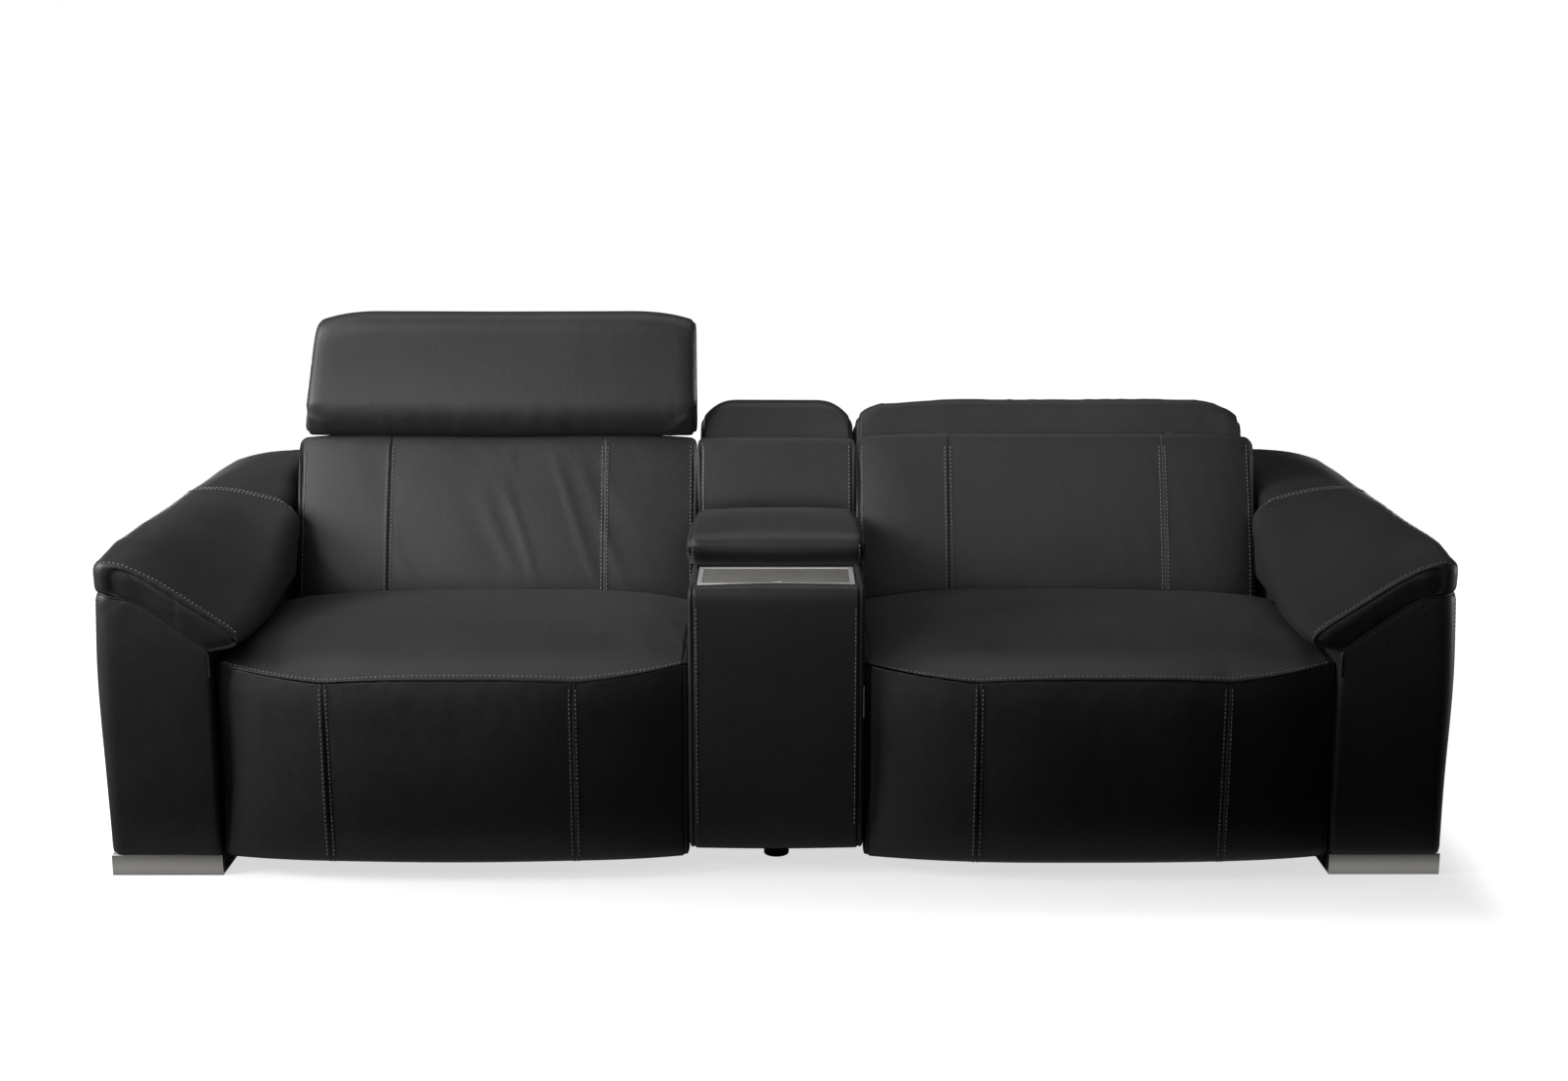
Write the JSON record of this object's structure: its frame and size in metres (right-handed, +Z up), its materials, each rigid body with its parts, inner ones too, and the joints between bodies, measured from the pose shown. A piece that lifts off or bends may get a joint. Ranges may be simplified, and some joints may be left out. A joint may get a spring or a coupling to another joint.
{
  "type": "power reclining sofa",
  "caption": "Leather two-seat power recliner with tilting headrests, swing-out footrests and a console with armrest lid, storage bin and flap tray over cup wells.",
  "frame": {"origin": "bottom centre of the box round the whole sofa, on the floor", "axes": "+X to the right as seen from the front, +Y to the rear, +Z up"},
  "size_m": [2.586, 1.052, 1.023],
  "materials": {
    "leather": "fine grain, satin",
    "nickel": "brushed nickel",
    "plastic": "moulded, matt",
    "switch_plastic": "smooth",
    "timber": "plain plywood and rails",
    "dark_steel": "black powder coat",
    "rod_steel": "bright drawn"
  },
  "bodies": {
    "base": {"front_feet": "nickel", "round_feet": "plastic", "base_rails": "timber", "glide_channels": "dark_steel", "left_arm_frame": "timber", "right_arm_frame": "timber", "left_arm_body": "leather", "right_arm_body": "leather", "left_arm_pad": "leather", "right_arm_pad": "leather", "console_body": "leather", "console_bin": "plastic", "console_back_cushion": "leather", "console_back_block": "timber", "console_top_roll": "leather", "cup_insert": "plastic", "tray_frame": "nickel", "switch_plates": "plastic", "power_supply": "plastic", "power_inlet": "plastic"},
    "console_lid": {"console_lid_pad": "leather", "console_lid_board": "leather"},
    "tray_lid": {"tray_flap": "nickel"},
    "left_seat": {"left_side_frames": "timber", "left_seat_rails": "timber", "left_seat_deck": "timber", "left_seat_cushion": "leather", "left_footrest_actuator": "dark_steel", "left_recline_actuator": "dark_steel"},
    "left_footrest": {"left_footrest_pad": "leather", "left_footrest_board": "timber", "left_footrest_hinges": "dark_steel"},
    "left_footrest_drive": {"left_footrest_rod": "rod_steel"},
    "left_back": {"left_back_frame": "dark_steel", "left_back_cushion": "leather", "left_back_shell": "leather"},
    "left_recline_drive": {"left_recline_rod": "rod_steel"},
    "left_head": {"left_headrest": "leather", "left_headrest_arms": "dark_steel"},
    "left_footrest_switch": {"left_footrest_rocker": "switch_plastic"},
    "left_recline_switch": {"left_recline_rocker": "switch_plastic"},
    "right_seat": {"right_side_frames": "timber", "right_seat_rails": "timber", "right_seat_deck": "timber", "right_seat_cushion": "leather", "right_footrest_actuator": "dark_steel", "right_recline_actuator": "dark_steel"},
    "right_footrest": {"right_footrest_pad": "leather", "right_footrest_board": "timber", "right_footrest_hinges": "dark_steel"},
    "right_footrest_drive": {"right_footrest_rod": "rod_steel"},
    "right_back": {"right_back_frame": "dark_steel", "right_back_cushion": "leather", "right_back_shell": "leather"},
    "right_recline_drive": {"right_recline_rod": "rod_steel"},
    "right_head": {"right_headrest": "leather", "right_headrest_arms": "dark_steel"},
    "right_footrest_switch": {"right_footrest_rocker": "switch_plastic"},
    "right_recline_switch": {"right_recline_rocker": "switch_plastic"}
  },
  "joints": [
    {"name": "left_glide", "type": "slide", "parent": "base", "child": "left_seat", "axis": [0, -1, 0], "range_m": [0, 0.0601]},
    {"name": "left_recline", "type": "hinge", "parent": "left_seat", "child": "left_back", "pos_m": [-0.619, 0.26605, 0.27], "axis": [-1, 0, 0], "range_deg": [0, 30]},
    {"name": "left_recline_push", "type": "slide", "parent": "left_seat", "child": "left_recline_drive", "axis": [0, -1, 0], "range_m": [0, 0.06759]},
    {"name": "left_footrest_lift", "type": "hinge", "parent": "left_seat", "child": "left_footrest", "pos_m": [-0.619, -0.50995, 0.394], "axis": [-1, 0, 0], "range_deg": [0, 84]},
    {"name": "left_footrest_push", "type": "slide", "parent": "left_seat", "child": "left_footrest_drive", "axis": [0, -1, 0], "range_m": [0, 0.32559]},
    {"name": "left_headrest_tilt", "type": "hinge", "parent": "left_back", "child": "left_head", "pos_m": [-0.619, 0.24705, 0.747], "axis": [-1, 0, 0], "range_deg": [0, 105]},
    {"name": "left_footrest_rocker", "type": "hinge", "parent": "base", "child": "left_footrest_switch", "pos_m": [-0.163, -0.35095, 0.5], "axis": [0, 0, -1], "range_deg": [-8, 8], "stiffness_Nm_per_rad": 0.6},
    {"name": "left_recline_rocker", "type": "hinge", "parent": "base", "child": "left_recline_switch", "pos_m": [-0.163, -0.30695, 0.5], "axis": [0, 0, -1], "range_deg": [-8, 8], "stiffness_Nm_per_rad": 0.6},
    {"name": "right_glide", "type": "slide", "parent": "base", "child": "right_seat", "axis": [0, -1, 0], "range_m": [0, 0.0601]},
    {"name": "right_recline", "type": "hinge", "parent": "right_seat", "child": "right_back", "pos_m": [0.619, 0.26605, 0.27], "axis": [-1, 0, 0], "range_deg": [0, 30]},
    {"name": "right_recline_push", "type": "slide", "parent": "right_seat", "child": "right_recline_drive", "axis": [0, -1, 0], "range_m": [0, 0.06759]},
    {"name": "right_footrest_lift", "type": "hinge", "parent": "right_seat", "child": "right_footrest", "pos_m": [0.619, -0.50995, 0.394], "axis": [-1, 0, 0], "range_deg": [0, 84]},
    {"name": "right_footrest_push", "type": "slide", "parent": "right_seat", "child": "right_footrest_drive", "axis": [0, -1, 0], "range_m": [0, 0.32559]},
    {"name": "right_headrest_tilt", "type": "hinge", "parent": "right_back", "child": "right_head", "pos_m": [0.619, 0.24705, 0.747], "axis": [-1, 0, 0], "range_deg": [-105, 0]},
    {"name": "right_footrest_rocker", "type": "hinge", "parent": "base", "child": "right_footrest_switch", "pos_m": [0.163, -0.35095, 0.5], "axis": [0, 0, 1], "range_deg": [-8, 8], "stiffness_Nm_per_rad": 0.6},
    {"name": "right_recline_rocker", "type": "hinge", "parent": "base", "child": "right_recline_switch", "pos_m": [0.163, -0.30695, 0.5], "axis": [0, 0, 1], "range_deg": [-8, 8], "stiffness_Nm_per_rad": 0.6},
    {"name": "console_lid_lift", "type": "hinge", "parent": "base", "child": "console_lid", "pos_m": [0, 0.12405, 0.5739], "axis": [-1, 0, 0], "range_deg": [0, 80]},
    {"name": "tray_flap_lift", "type": "hinge", "parent": "base", "child": "tray_lid", "pos_m": [0, -0.31375, 0.5708], "axis": [-1, 0, 0], "range_deg": [0, 85]}
  ],
  "couplings": [
    {"joint": "left_glide", "follows": "left_recline", "m_per_rad": 0.11459},
    {"joint": "left_recline_push", "follows": "left_recline", "m_per_rad": 0.12889},
    {"joint": "left_footrest_push", "follows": "left_footrest_lift", "m_per_rad": 0.22201},
    {"joint": "right_glide", "follows": "right_recline", "m_per_rad": 0.11459},
    {"joint": "right_recline_push", "follows": "right_recline", "m_per_rad": 0.12889},
    {"joint": "right_footrest_push", "follows": "right_footrest_lift", "m_per_rad": 0.22201}
  ]
}
